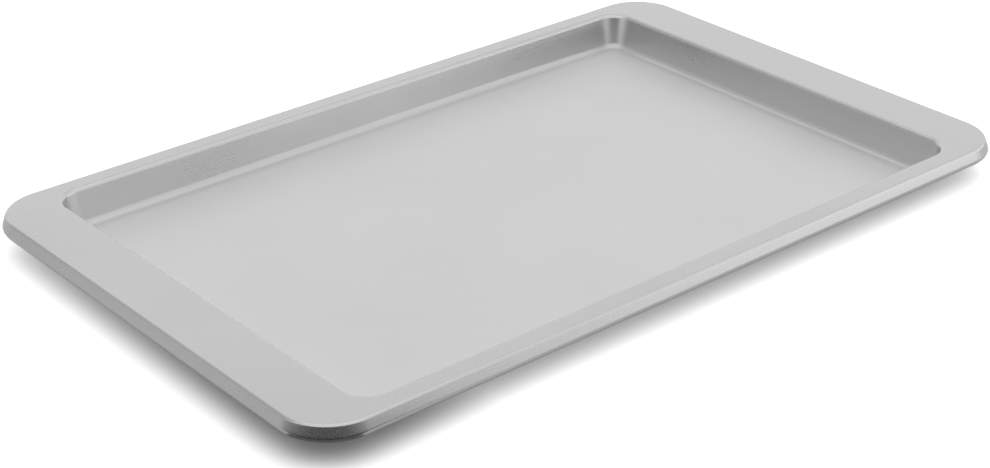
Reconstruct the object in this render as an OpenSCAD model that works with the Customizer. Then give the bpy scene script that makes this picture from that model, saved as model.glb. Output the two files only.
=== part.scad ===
// Jelly roll pan: one pressed sheet with a shallow tray, a flat rim that widens into
// a handle at each end, and a skirt whose lower edge is rolled round a steel wire.
// The pan lies on Z = 0. The long sides run along X.

/* [Overall size] */
// Length over the rolled rim
pan_l = 446; // [420:1:520]
// Width over the rolled rim
pan_w = 279; // [270:1:380]
// Height from the underside of the floor to the top of the rim
pan_h = 20; // [17:0.5:40]
// Thickness of the sheet
sheet = 0.8; // [0.5:0.1:1.1]

/* [Tray] */
// Length of the opening at the top of the walls
opening_l = 381; // [300:1:390]
// Width of the opening at the top of the walls
opening_w = 254; // [180:1:258]
// Corner radius of the opening, seen from above
opening_r = 14; // [12:0.5:25]
// How far each wall leans in from the rim to the floor
wall_lean = 4.4; // [2:0.2:6]
// Radius over the fold from the rim into the wall
fold_r = 2.5; // [1.8:0.1:3.5]
// Radius inside the floor fillet
floor_r = 4; // [2:0.2:5]

/* [Rim] */
// Corner radius of the rim at its widest line, seen from above
rim_r = 27.5; // [18:0.5:40]
// Drop from the top of the rim to the underside of the roll
rim_drop = 8.4; // [7.6:0.2:14]
// Radius over the bend from the rim into the skirt
bend_r = 1.6; // [1.3:0.1:2.4]
// Lean of the skirt, outwards from upright, in degrees
skirt_lean = 20; // [6:1:24]
// How far round its wire the sheet is rolled, in degrees
roll_angle = 290; // [220:5:300]

/* [Rim wire] */
// Diameter of the wire in the roll
wire_d = 3.4; // [2.6:0.1:3.6]
// Clearance between the wire and the roll
wire_clear = 0.05; // [0.02:0.01:0.15]
// Gap between the wire's two butted ends
wire_gap = 1; // [0.4:0.1:3]

/* [Hidden] */
// Facets asked of each full circle in a section
ARC_FN = 96;
// Depth by which a straight run ends inside the arc that it meets
SEAM_DEPTH = 0.0005;
// Angle over which the roll and the foot of the skirt share one arc
SEAM_ANGLE = 20;

// Seams that stand upright lie on whole thousandths
function neat(x) = round(x * 1000) / 1000;

// Tray section, measured outwards from the opening's edge and up from the floor's underside
wall_angle = atan(wall_lean / (pan_h - sheet));
wall_in = [-cos(wall_angle), sin(wall_angle)];
corner_run = (1 - sin(wall_angle)) / cos(wall_angle);
fold_c = [neat(fold_r * corner_run), pan_h - fold_r];
fillet_c = [neat(-wall_lean - floor_r * corner_run), sheet + floor_r];

// Rim section, measured outwards from the rim's widest line and up from the floor's underside
roll_r = wire_d / 2 + wire_clear + sheet;
roll_c = [-roll_r, pan_h - rim_drop + roll_r];
skirt_out = [cos(skirt_lean), sin(skirt_lean)];
bend_y = pan_h - bend_r;
bend_x = (roll_c * skirt_out + roll_r - bend_r - bend_y * skirt_out[1]) / skirt_out[0];
bend_c = [neat(bend_x), bend_y];

// Point in direction dir from an arc's centre c, just inside its radius r
function arc_end(c, r, dir) = c + (r - SEAM_DEPTH) * dir;

// Disc round centre c
module disc(c, r) {
  translate(c) circle(r = r, $fn = ARC_FN);
}

// Sector round centre c from angle a0 to angle a1, reaching past the whole section
module sector(c, a0, a1) {
  reach = 2 * pan_h;
  polygon([
    c,
    c + reach * [cos(a0), sin(a0)],
    c + reach * [cos((a0 + a1) / 2), sin((a0 + a1) / 2)],
    c + reach * [cos(a1), sin(a1)]
  ]);
}

// All that lies below the tray's upper face, or inset from that face
module tray_fill(inset) {
  difference() {
    union() {
      polygon([
        [fillet_c[0], -pan_h],
        fillet_c,
        arc_end(fillet_c, floor_r + inset, -wall_in),
        arc_end(fold_c, fold_r - inset, wall_in),
        fold_c,
        [fold_c[0], -pan_h]
      ]);
      disc(fold_c, fold_r - inset);
    }
    disc(fillet_c, floor_r + inset);
  }
}

// Floor fillet, wall and inner fold
module tray_section() {
  intersection() {
    difference() {
      tray_fill(0);
      tray_fill(sheet);
    }
    translate([fillet_c[0], -sheet]) square([fold_c[0] - fillet_c[0], pan_h + 2 * sheet]);
  }
}

// All that lies inside the rim's outer face, or inset from that face
module rim_fill(inset) {
  disc(bend_c, bend_r - inset);
  disc(roll_c, roll_r - inset);
  polygon([
    bend_c,
    arc_end(bend_c, bend_r - inset, skirt_out),
    arc_end(roll_c, roll_r - inset, skirt_out),
    roll_c
  ]);
}

// Outer bend and skirt, down to the start of the roll
module skirt_section() {
  foot_angle = skirt_lean - 2 * SEAM_ANGLE;
  intersection() {
    difference() {
      rim_fill(0);
      rim_fill(sheet);
    }
    polygon([
      [bend_c[0], 2 * pan_h],
      bend_c,
      roll_c,
      roll_c + pan_h * [cos(foot_angle), sin(foot_angle)],
      [2 * pan_h, 2 * pan_h]
    ]);
  }
}

// Roll round the wire, open between the skirt and the sheet's cut edge
module roll_section() {
  difference() {
    disc(roll_c, roll_r);
    disc(roll_c, roll_r - sheet);
    sector(roll_c, skirt_lean - SEAM_ANGLE, skirt_lean + 360 - roll_angle);
  }
}

// Carries a section once round a rounded rectangle of length l, width w and corner radius r
module round_the_pan(l, w, r) {
  for (k = [0:3]) {
    along = k % 2 == 0 ? l : w;
    across = k % 2 == 0 ? w : l;
    rotate([0, 0, 90 * k])
      translate([along / 2 - r, across / 2 - r, 0]) {
        rotate_extrude(angle = 90, $fn = 4 * ARC_FN)
          translate([r, 0]) children();
        rotate([90, 0, 0])
          linear_extrude(height = across - 2 * r)
            translate([r, 0]) children();
      }
  }
}

// Flat rounded rectangle
module round_plate(l, w, r) {
  square([l - 2 * r, w], center = true);
  square([l, w - 2 * r], center = true);
  for (x = [-1, 1], y = [-1, 1])
    translate([x * (l / 2 - r), y * (w / 2 - r)]) circle(r = r, $fn = ARC_FN);
}

module pan_body() {
  color([0.78, 0.78, 0.78]) {
    // floor, inside the fillet
    linear_extrude(height = sheet)
      round_plate(opening_l + 2 * fillet_c[0], opening_w + 2 * fillet_c[0], opening_r + fillet_c[0]);
    round_the_pan(opening_l, opening_w, opening_r) tray_section();
    // flat rim with its two handles, between the inner fold and the outer bend
    translate([0, 0, pan_h - sheet])
      linear_extrude(height = sheet)
        difference() {
          round_plate(pan_l + 2 * bend_c[0], pan_w + 2 * bend_c[0], rim_r + bend_c[0]);
          round_plate(opening_l + 2 * fold_c[0], opening_w + 2 * fold_c[0], opening_r + fold_c[0]);
        }
    round_the_pan(pan_l, pan_w, rim_r) {
      union() {
        skirt_section();
        roll_section();
      }
    }
  }
}

module rim_wire() {
  color([0.55, 0.55, 0.56])
    difference() {
      round_the_pan(pan_l, pan_w, rim_r) disc(roll_c, wire_d / 2);
      // butt joint in the middle of one long side
      translate([-wire_gap / 2, pan_w / 2 - 2 * roll_r, roll_c[1] - roll_r])
        cube([wire_gap, 2 * roll_r, 2 * roll_r]);
    }
}

pan_body();
rim_wire();
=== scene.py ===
import math

import bmesh
import bpy
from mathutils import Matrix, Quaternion, Vector


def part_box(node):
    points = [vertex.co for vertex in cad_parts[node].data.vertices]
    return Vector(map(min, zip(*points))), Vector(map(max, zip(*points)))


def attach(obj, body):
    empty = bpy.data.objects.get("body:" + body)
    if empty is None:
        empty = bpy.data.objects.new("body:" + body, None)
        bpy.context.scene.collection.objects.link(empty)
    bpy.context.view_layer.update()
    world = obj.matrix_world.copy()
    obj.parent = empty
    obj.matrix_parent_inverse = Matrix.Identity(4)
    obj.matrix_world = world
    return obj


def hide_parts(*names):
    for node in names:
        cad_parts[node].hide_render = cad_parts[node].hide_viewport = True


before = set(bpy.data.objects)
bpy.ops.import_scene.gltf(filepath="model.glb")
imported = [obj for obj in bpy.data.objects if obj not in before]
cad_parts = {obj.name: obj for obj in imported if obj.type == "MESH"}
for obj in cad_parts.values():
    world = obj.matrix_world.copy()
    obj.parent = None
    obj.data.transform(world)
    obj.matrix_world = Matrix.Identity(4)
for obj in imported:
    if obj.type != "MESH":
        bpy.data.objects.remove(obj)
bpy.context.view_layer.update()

# The pan: one sheet of steel with a baked satin coating. It is pressed to a shallow tray with a flat
# rim, the rim is widened to a handle at each end, and its edge is turned down to a flared skirt and
# rolled. A quarter of it is drawn here as two sections, turned round their corners and mirrored.
low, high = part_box("pan_body")
pan_top = high.z
sheet = 0.0008
half_opening = Vector((0.1905, 0.127))
opening_corner = 0.014
wall_lean = 0.0044
fold_radius = 0.0025
fillet_radius = 0.004
rim_corner = 0.0275
rim_drop = 0.0084
bend_radius = 0.0016
skirt_angle = math.radians(20)
roll_turn = math.radians(290)
wire_radius = 0.0017
wire_clearance = 0.00005
fillet_steps = 10
wall_steps = 3
fold_steps = 10
flange_cuts = 3
bend_steps = 10
roll_steps = 40
corner_steps = 28
length_steps = 12
width_steps = 8
sharp_angle = math.radians(40)
near = 0.000001

wall_angle = math.atan(wall_lean / (pan_top - sheet))
corner_run = (1 - math.sin(wall_angle)) / math.cos(wall_angle)
wall_in = Vector((-math.cos(wall_angle), math.sin(wall_angle)))
fold_centre = Vector((fold_radius * corner_run, pan_top - fold_radius))
fillet_centre = Vector((-wall_lean - fillet_radius * corner_run, sheet + fillet_radius))
skirt_out = Vector((math.cos(skirt_angle), math.sin(skirt_angle)))
roll_radius = wire_radius + wire_clearance + sheet
roll_centre = Vector((-roll_radius, pan_top - rim_drop + roll_radius))
bend_height = pan_top - bend_radius
bend_out = (roll_centre.dot(skirt_out) + roll_radius - bend_radius - bend_height * skirt_out.y) / skirt_out.x
bend_centre = Vector((bend_out, bend_height))
opening_turn = half_opening - Vector((opening_corner, opening_corner))
rim_turn = Vector((high.x - rim_corner, high.y - rim_corner))


def section_place(corner, radius, point):
    """A section's point: out from the curve of that radius round the corner, and up from the ground."""
    return Vector((corner.x + radius + point.x, corner.y, point.y))


def lone_vertex(place):
    """Adds a small plane to the mesh that is being edited and merges it to one vertex."""
    bpy.ops.mesh.primitive_plane_add(size=sheet, location=place)
    bpy.ops.mesh.merge(type="CENTER")


def arc(centre, turn, steps):
    """Carries the selected vertex round a centre in the section's plane, from outwards to up if turn > 0."""
    bpy.ops.mesh.spin(steps=steps, angle=turn, center=centre, axis=(0, 1, 0))


def run(move, steps):
    """Extrudes what is selected along a straight run, in equal steps."""
    for _ in range(steps):
        bpy.ops.mesh.extrude_region_move(TRANSFORM_OT_translate={"value": tuple(move / steps)})


def select_where(test):
    """Selects the vertices in sight that pass the test, and the edges and faces between them."""
    bpy.ops.mesh.select_all(action="DESELECT")
    bpy.ops.object.mode_set(mode="OBJECT")
    for vertex in bpy.context.object.data.vertices:
        vertex.select = not vertex.hide and test(vertex.co)
    bpy.ops.object.mode_set(mode="EDIT")
    bpy.ops.mesh.select_mode(type="VERT")


def sweep_quarter(corner, gap=0.0):
    """Turns the section round its corner and runs both ends to the middle, or to half a gap from it."""
    bpy.ops.mesh.spin(steps=corner_steps, angle=math.pi / 2, center=(corner.x, corner.y, 0), axis=(0, 0, -1))
    run(Vector((gap / 2 - corner.x, 0, 0)), length_steps)
    select_where(lambda co: abs(co.y - corner.y) < near and co.x > corner.x + near)
    run(Vector((0, -corner.y, 0)), width_steps)


def mirror_quarter(piece):
    """Mirrors a finished quarter to the other three and joins them in the middle."""
    mirror = piece.modifiers.new("quarters", "MIRROR")
    mirror.use_axis = (True, True, False)
    mirror.merge_threshold = near
    bpy.ops.object.modifier_apply(modifier=mirror.name)


bpy.ops.object.select_all(action="DESELECT")
bpy.ops.mesh.primitive_plane_add(size=sheet)
pan = bpy.context.object
pan.name = "pressed_pan"
bpy.ops.object.mode_set(mode="EDIT")
bpy.ops.mesh.select_mode(type="VERT")
bpy.ops.mesh.delete(type="VERT")

# fillet, leaning wall and inner fold, from the floor up
fillet_foot = Vector((fillet_centre.x, sheet))
wall_foot = fillet_centre - fillet_radius * wall_in
wall_head = fold_centre + fold_radius * wall_in
wall = wall_head - wall_foot
lone_vertex(section_place(opening_turn, opening_corner, fillet_foot))
arc(section_place(opening_turn, opening_corner, fillet_centre), math.pi / 2 - wall_angle, fillet_steps)
run(Vector((wall.x, 0, wall.y)), wall_steps)
arc(section_place(opening_turn, opening_corner, fold_centre), wall_angle - math.pi / 2, fold_steps)
bpy.ops.mesh.select_all(action="SELECT")
sweep_quarter(opening_turn)
bpy.ops.mesh.select_all(action="SELECT")
bpy.ops.mesh.hide()

# outer bend, flared skirt and roll, from the rim down
bend_head = Vector((bend_centre.x, pan_top))
skirt_head = bend_centre + bend_radius * skirt_out
skirt = roll_centre + roll_radius * skirt_out - skirt_head
lone_vertex(section_place(rim_turn, rim_corner, bend_head))
arc(section_place(rim_turn, rim_corner, bend_centre), skirt_angle - math.pi / 2, bend_steps)
run(Vector((skirt.x, 0, skirt.y)), 1)
arc(section_place(rim_turn, rim_corner, roll_centre), -roll_turn, roll_steps)
bpy.ops.mesh.select_all(action="SELECT")
sweep_quarter(rim_turn)
bpy.ops.mesh.reveal(select=False)

# flat rim between the fold and the bend, then the other quarters and the floor
select_where(lambda co: co.z > pan_top - near)
bpy.ops.mesh.bridge_edge_loops(number_cuts=flange_cuts, interpolation="LINEAR")
bpy.ops.object.mode_set(mode="OBJECT")
mirror_quarter(pan)
bpy.ops.object.mode_set(mode="EDIT")
select_where(lambda co: co.z < sheet + near)
bpy.ops.mesh.edge_face_add()
bpy.ops.mesh.inset(thickness=fillet_radius)
bpy.ops.mesh.select_all(action="SELECT")
bpy.ops.mesh.normals_make_consistent(inside=False)
bpy.ops.object.mode_set(mode="OBJECT")
floor_face = max(pan.data.polygons, key=lambda face: face.area)
if floor_face.normal.z < 0:
    bpy.ops.object.mode_set(mode="EDIT")
    bpy.ops.mesh.flip_normals()
    bpy.ops.object.mode_set(mode="OBJECT")

# the sheet's thickness lies below its drawn face
thickness = pan.modifiers.new("sheet", "SOLIDIFY")
thickness.thickness = sheet
thickness.offset = -1
thickness.use_even_offset = True
bpy.ops.object.modifier_apply(modifier=thickness.name)
bpy.ops.object.shade_smooth_by_angle(angle=sharp_angle)
shading = pan.modifiers.new("flat faces first", "WEIGHTED_NORMAL")
shading.keep_sharp = True
bpy.ops.object.modifier_apply(modifier=shading.name)

# where the thick coat lies: none of it on the rim and the outside, all of it on the flat floor
coat_fade = 0.01
thick_coat = pan.data.attributes.new("thick_coat", "FLOAT", "POINT")
for vertex in pan.data.vertices:
    past = Vector((
        max(abs(vertex.co.x) - opening_turn.x, 0),
        max(abs(vertex.co.y) - opening_turn.y, 0),
    ))
    thick_coat.data[vertex.index].value = min(max((opening_corner - past.length) / coat_fade, 0), 1)

# the ridges that hands and racks rub: where the sheet bends outwards the coating is burnished
ridge_start = math.radians(4)
ridge_full = math.radians(8)
drawn = bmesh.new()
drawn.from_mesh(pan.data)
rubbed = pan.data.attributes.new("rubbed", "FLOAT", "POINT")
for vertex in drawn.verts:
    sharpest = max(edge.calc_face_angle_signed(0) for edge in vertex.link_edges)
    share = (sharpest - ridge_start) / (ridge_full - ridge_start)
    rubbed.data[vertex.index].value = min(max(share, 0), 1)
drawn.free()

# a baked satin coating over rolled steel, thick and matt in the tray and thin on the rim and the outside:
# faint clouds, fine lines along the sheet and a fine pebble
thin_dark, thin_light = 0.535, 0.565
thick_dark, thick_light = 0.68, 0.71
burnished = (0.58, 0.58, 0.58, 1)
tone_from, tone_to = 0.35, 0.65
cloud_scale = 11
line_scale = (25, 1500, 1500)
line_share = 0.2
pebble_scale = 2200
thin_metal, thick_metal = 0.9, 0.08
gloss_from, gloss_to = 0.3, 0.7
least_rough, most_rough = 0.25, 0.31
thick_rougher = 0.05
burnish_smoother = -0.05
line_depth, line_strength = 0.00003, 0.022
pebble_depth, pebble_strength = 0.00002, 0.05
coating = bpy.data.materials.new("satin coating")
coating.use_nodes = True
nodes = coating.node_tree.nodes
links = coating.node_tree.links
satin = nodes["Principled BSDF"]
satin.inputs["Specular IOR Level"].default_value = 0.3
place = nodes.new("ShaderNodeTexCoord")

clouds = nodes.new("ShaderNodeTexNoise")
clouds.inputs["Scale"].default_value = cloud_scale
clouds.inputs["Detail"].default_value = 3
links.new(place.outputs["Object"], clouds.inputs["Vector"])

rolling = nodes.new("ShaderNodeMapping")
rolling.inputs["Scale"].default_value = line_scale
links.new(place.outputs["Object"], rolling.inputs["Vector"])
lines = nodes.new("ShaderNodeTexNoise")
lines.inputs["Scale"].default_value = 1
lines.inputs["Detail"].default_value = 2
links.new(rolling.outputs["Vector"], lines.inputs["Vector"])

pebble = nodes.new("ShaderNodeTexNoise")
pebble.inputs["Scale"].default_value = pebble_scale
pebble.inputs["Detail"].default_value = 1
links.new(place.outputs["Object"], pebble.inputs["Vector"])

tone = nodes.new("ShaderNodeMix")
tone.inputs["Factor"].default_value = line_share
links.new(clouds.outputs["Fac"], tone.inputs["A"])
links.new(lines.outputs["Fac"], tone.inputs["B"])


def tone_ramp(dark, light):
    """Turns the tone into a grey between a dark and a light one."""
    ramp = nodes.new("ShaderNodeValToRGB")
    ramp.color_ramp.elements[0].position = tone_from
    ramp.color_ramp.elements[0].color = (dark, dark, dark, 1)
    ramp.color_ramp.elements[1].position = tone_to
    ramp.color_ramp.elements[1].color = (light, light, light, 1)
    links.new(tone.outputs["Result"], ramp.inputs["Fac"])
    return ramp.outputs["Color"]


coat = nodes.new("ShaderNodeAttribute")
coat.attribute_name = "thick_coat"
body = nodes.new("ShaderNodeMix")
body.data_type = "RGBA"
links.new(coat.outputs["Fac"], body.inputs["Factor"])
links.new(tone_ramp(thin_dark, thin_light), body.inputs["A"])
links.new(tone_ramp(thick_dark, thick_light), body.inputs["B"])

rub = nodes.new("ShaderNodeAttribute")
rub.attribute_name = "rubbed"
patchy = nodes.new("ShaderNodeMath")
patchy.operation = "MULTIPLY"
links.new(rub.outputs["Fac"], patchy.inputs[0])
links.new(clouds.outputs["Fac"], patchy.inputs[1])
burnish = nodes.new("ShaderNodeMix")
burnish.data_type = "RGBA"
burnish.inputs["B"].default_value = burnished
links.new(patchy.outputs[0], burnish.inputs["Factor"])
links.new(body.outputs["Result"], burnish.inputs["A"])
links.new(burnish.outputs["Result"], satin.inputs["Base Color"])

metal = nodes.new("ShaderNodeMapRange")
metal.inputs["To Min"].default_value = thin_metal
metal.inputs["To Max"].default_value = thick_metal
links.new(coat.outputs["Fac"], metal.inputs["Value"])
links.new(metal.outputs["Result"], satin.inputs["Metallic"])

gloss = nodes.new("ShaderNodeMapRange")
gloss.inputs["From Min"].default_value = gloss_from
gloss.inputs["From Max"].default_value = gloss_to
gloss.inputs["To Min"].default_value = least_rough
gloss.inputs["To Max"].default_value = most_rough
links.new(tone.outputs["Result"], gloss.inputs["Value"])
matting = nodes.new("ShaderNodeMath")
matting.operation = "MULTIPLY_ADD"
matting.inputs[1].default_value = thick_rougher
links.new(coat.outputs["Fac"], matting.inputs[0])
links.new(gloss.outputs["Result"], matting.inputs[2])
smoothing = nodes.new("ShaderNodeMath")
smoothing.operation = "MULTIPLY_ADD"
smoothing.inputs[1].default_value = burnish_smoother
links.new(patchy.outputs[0], smoothing.inputs[0])
links.new(matting.outputs[0], smoothing.inputs[2])
links.new(smoothing.outputs[0], satin.inputs["Roughness"])

line_relief = nodes.new("ShaderNodeBump")
line_relief.inputs["Strength"].default_value = line_strength
line_relief.inputs["Distance"].default_value = line_depth
links.new(lines.outputs["Fac"], line_relief.inputs["Height"])
pebble_relief = nodes.new("ShaderNodeBump")
pebble_relief.inputs["Strength"].default_value = pebble_strength
pebble_relief.inputs["Distance"].default_value = pebble_depth
links.new(pebble.outputs["Fac"], pebble_relief.inputs["Height"])
links.new(line_relief.outputs["Normal"], pebble_relief.inputs["Normal"])
links.new(pebble_relief.outputs["Normal"], satin.inputs["Normal"])
pan.data.materials.append(coating)
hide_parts("pan_body")
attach(pan, "root")

# The wire in the roll: drawn steel, bent to one loop inside the rolled edge, which holds it all round.
# Its ends meet in the middle of one long side with a small gap.
wire_gap = 0.001
wire_sides = 24
bpy.ops.object.select_all(action="DESELECT")
bpy.ops.mesh.primitive_circle_add(
    vertices=wire_sides, radius=wire_radius,
    location=section_place(rim_turn, rim_corner, roll_centre), rotation=(math.pi / 2, 0, 0)
)
wire = bpy.context.object
wire.name = "rim_loop"
bpy.ops.object.transform_apply(location=True, rotation=True)
bpy.ops.object.mode_set(mode="EDIT")
sweep_quarter(rim_turn, wire_gap)
bpy.ops.object.mode_set(mode="OBJECT")
mirror_quarter(wire)
bpy.ops.object.mode_set(mode="EDIT")
select_where(lambda co: co.y < 0 and abs(co.x) < wire_gap)
bpy.ops.mesh.bridge_edge_loops()
for side in (-1, 1):
    select_where(lambda co: co.y > 0 and 0 < co.x * side < wire_gap)
    bpy.ops.mesh.edge_face_add()
bpy.ops.mesh.select_all(action="SELECT")
bpy.ops.mesh.normals_make_consistent(inside=False)
bpy.ops.object.mode_set(mode="OBJECT")
bpy.ops.object.shade_smooth_by_angle(angle=sharp_angle)

# bare drawn wire: die lines round it are too fine to see, a dull skin in patches shows
dull_steel, bright_steel = (0.38, 0.38, 0.39, 1), (0.5, 0.5, 0.51, 1)
skin_from, skin_to = 0.3, 0.7
skin_scale = 260
dull_rough, bright_rough = 0.5, 0.3
pit_depth, pit_strength = 0.00005, 0.2
drawn_wire = bpy.data.materials.new("drawn wire")
drawn_wire.use_nodes = True
nodes = drawn_wire.node_tree.nodes
links = drawn_wire.node_tree.links
steel = nodes["Principled BSDF"]
steel.inputs["Metallic"].default_value = 1
place = nodes.new("ShaderNodeTexCoord")
skin = nodes.new("ShaderNodeTexNoise")
skin.inputs["Scale"].default_value = skin_scale
skin.inputs["Detail"].default_value = 4
links.new(place.outputs["Object"], skin.inputs["Vector"])
steel_tone = nodes.new("ShaderNodeValToRGB")
steel_tone.color_ramp.elements[0].position = skin_from
steel_tone.color_ramp.elements[0].color = dull_steel
steel_tone.color_ramp.elements[1].position = skin_to
steel_tone.color_ramp.elements[1].color = bright_steel
links.new(skin.outputs["Fac"], steel_tone.inputs["Fac"])
links.new(steel_tone.outputs["Color"], steel.inputs["Base Color"])
dullness = nodes.new("ShaderNodeMapRange")
dullness.inputs["To Min"].default_value = dull_rough
dullness.inputs["To Max"].default_value = bright_rough
links.new(skin.outputs["Fac"], dullness.inputs["Value"])
links.new(dullness.outputs["Result"], steel.inputs["Roughness"])
pitting = nodes.new("ShaderNodeBump")
pitting.inputs["Strength"].default_value = pit_strength
pitting.inputs["Distance"].default_value = pit_depth
links.new(skin.outputs["Fac"], pitting.inputs["Height"])
links.new(pitting.outputs["Normal"], steel.inputs["Normal"])
wire.data.materials.append(drawn_wire)
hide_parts("rim_wire")
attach(wire, "root")

# The surface that the pan lies on: a plain pale table top. To the camera it glows so that it comes out clear
# white, and in reflections a little, but less where the pan closes it in: a painted shadow, on top of the
# real one that the boards cast on its matt grey. The painted shadow is a power of how open the place is, and
# the power falls off away from the near left corner.
table_width = 12
table_pale = (0.62, 0.62, 0.62, 1)
seen_glow = 1.0
mirrored_glow = 0.2
shadow_reach = 0.05
fading_way = (3, 1, 0)
fades_from, fades_to = -0.92, -0.51
deepest, faintest = 1.95, 0.56
bpy.ops.object.select_all(action="DESELECT")
bpy.ops.mesh.primitive_plane_add(size=table_width)
table = bpy.context.object
table.name = "table_top"
pale_finish = bpy.data.materials.new("pale table")
pale_finish.use_nodes = True
nodes = pale_finish.node_tree.nodes
links = pale_finish.node_tree.links
nodes.remove(nodes["Principled BSDF"])


def scaled(value, factor):
    """A value times a factor, which is another value or a number."""
    product = nodes.new("ShaderNodeMath")
    product.operation = "MULTIPLY"
    links.new(value, product.inputs[0])
    if isinstance(factor, float):
        product.inputs[1].default_value = factor
    else:
        links.new(factor, product.inputs[1])
    return product.outputs[0]


def larger(first, second):
    """The larger of two values."""
    either = nodes.new("ShaderNodeMath")
    either.operation = "MAXIMUM"
    links.new(first, either.inputs[0])
    links.new(second, either.inputs[1])
    return either.outputs[0]


def seen_or_mirrored():
    """Whether the camera sees a thing itself, and whether it is seen in or through something else."""
    ray = nodes.new("ShaderNodeLightPath")
    mirrored = larger(ray.outputs["Is Glossy Ray"], ray.outputs["Is Transmission Ray"])
    return ray.outputs["Is Camera Ray"], mirrored


seen, mirrored = seen_or_mirrored()
glow_share = larger(scaled(seen, seen_glow), scaled(mirrored, mirrored_glow))
closed_in = nodes.new("ShaderNodeAmbientOcclusion")
closed_in.inputs["Distance"].default_value = shadow_reach
place = nodes.new("ShaderNodeTexCoord")
across = nodes.new("ShaderNodeVectorMath")
across.operation = "DOT_PRODUCT"
across.inputs[1].default_value = fading_way
links.new(place.outputs["Object"], across.inputs[0])
# painted shadow: the power, deepest off the near left corner and fainter away from it
depth = nodes.new("ShaderNodeMapRange")
depth.inputs["From Min"].default_value = fades_from
depth.inputs["From Max"].default_value = fades_to
depth.inputs["To Min"].default_value = deepest
depth.inputs["To Max"].default_value = faintest
links.new(across.outputs["Value"], depth.inputs["Value"])
# painted shadow: the glow kept is how open the place is, raised to that power
painted_shadow_share = nodes.new("ShaderNodeMath")
painted_shadow_share.operation = "POWER"
links.new(closed_in.outputs["AO"], painted_shadow_share.inputs[0])
links.new(depth.outputs["Result"], painted_shadow_share.inputs[1])
glow = nodes.new("ShaderNodeEmission")
links.new(scaled(painted_shadow_share.outputs[0], glow_share), glow.inputs["Strength"])
matt = nodes.new("ShaderNodeBsdfDiffuse")
matt.inputs["Color"].default_value = table_pale
surface = nodes.new("ShaderNodeAddShader")
links.new(matt.outputs["BSDF"], surface.inputs[0])
links.new(glow.outputs["Emission"], surface.inputs[1])
links.new(surface.outputs["Shader"], nodes["Material Output"].inputs["Surface"])
table.data.materials.append(pale_finish)

# Soft studio light: glowing boards stand right, behind, left and in front of the pan, and one hangs over it.
# Each has an azimuth, an elevation, a width, a height and a level, which is 1 for the white of lit paper.
# Before the near left corner a dark card slopes up and a smaller one lies flat, seen in reflections only: the
# first puts a dark reflection on the skirt there, the second is a painted shadow of the table in the roll's
# reflection.
board_distance = 1.6
boards = (
    ("right", 57, 38, 1.5, 1.2, 1.05),
    ("right_low", 57, 8, 1.5, 0.4, 1.7),
    ("back", 142, 22, 2.4, 1.4, 1.02),
    ("back_high", 142, 54, 2.4, 0.6, 0.85),
    ("left", 226, 29, 1.6, 1.7, 0.6),
    ("front", 320, 8, 1.7, 0.6, 0.25),
    ("top", 330, 84, 2.6, 3.4, 1.15),
)
card_azimuth = -40
card_slope = 22
card_length, card_width, card_level = 0.65, 0.45, 0.03
lying_size, lying_level = 0.16, 0.12
lying_out = 0.05
lying_rise = 0.0005


def away_from(azimuth, elevation):
    """The direction to an azimuth, counted from the near side to the right, and an elevation, in degrees."""
    turn = math.radians(azimuth)
    rise = math.radians(elevation)
    return Vector((math.sin(turn) * math.cos(rise), -math.cos(turn) * math.cos(rise), math.sin(rise)))


def stand(name, level, place, normal, width, height):
    """A flat board that glows at a level. The camera sees its light and its reflection, not the board."""
    bpy.ops.mesh.primitive_plane_add(size=1, location=place)
    board = bpy.context.object
    board.name = name
    board.scale = (width, height, 1)
    board.rotation_euler = normal.to_track_quat("Z", "Y").to_euler()
    board.visible_camera = False
    shine = bpy.data.materials.new(name)
    shine.use_nodes = True
    nodes = shine.node_tree.nodes
    nodes.remove(nodes["Principled BSDF"])
    light = nodes.new("ShaderNodeEmission")
    light.inputs["Strength"].default_value = level
    shine.node_tree.links.new(light.outputs["Emission"], nodes["Material Output"].inputs["Surface"])
    board.data.materials.append(shine)
    return board


for name, azimuth, elevation, width, height, level in boards:
    outwards = away_from(azimuth, elevation)
    stand(name, level, board_distance * outwards, -outwards, width, height)

near_corner = Vector((low.x, low.y, 0))
card_place = near_corner + card_length / 2 * away_from(card_azimuth, card_slope)
card_normal = away_from(card_azimuth + 180, 90 - card_slope)
# a dark card seen only in reflections, for a dark reflection on the skirt at the near corner
dark_card = stand("dark_card", card_level, card_place, card_normal, card_width, card_length)
# painted shadow: a dark sheet lying on the table that only reflections see
lying_place = near_corner + Vector((-lying_out, -lying_out, lying_rise))
painted_shade_card = stand("painted_shade_card", lying_level, lying_place, Vector((0, 0, 1)), lying_size, lying_size)
for card in (dark_card, painted_shade_card):
    card.visible_diffuse = False
    card.visible_shadow = False

# past the table's edge the backdrop is white to the eye and in reflections, and gives next to no light
backdrop_light = 0.02
world = bpy.data.worlds.new("studio")
bpy.context.scene.world = world
world.use_nodes = True
nodes = world.node_tree.nodes
links = world.node_tree.links
backdrop = nodes.new("ShaderNodeMapRange")
backdrop.inputs["To Min"].default_value = backdrop_light
links.new(larger(*seen_or_mirrored()), backdrop.inputs["Value"])
nodes["Background"].inputs["Color"].default_value = (1, 1, 1, 1)
links.new(backdrop.outputs["Result"], nodes["Background"].inputs["Strength"])

# The camera stands out beyond the near left corner and looks down across the tray, at the photograph's angle.
camera_azimuth = -40
camera_elevation = 27.27
camera_roll = math.radians(-0.46)
camera_distance = 1.0454
camera_target = Vector((-0.0262, -0.0178, 0))
camera_sensor, camera_lens = 36, 76.54
away = away_from(camera_azimuth, camera_elevation)
bpy.ops.object.camera_add(location=camera_target + camera_distance * away)
camera = bpy.context.object
camera.rotation_mode = "QUATERNION"
camera.rotation_quaternion = (-away).to_track_quat("-Z", "Y") @ Quaternion((0, 0, 1), camera_roll)
camera.data.sensor_width = camera_sensor
camera.data.lens = camera_lens
bpy.context.scene.camera = camera
bpy.context.scene.view_settings.view_transform = "Standard"
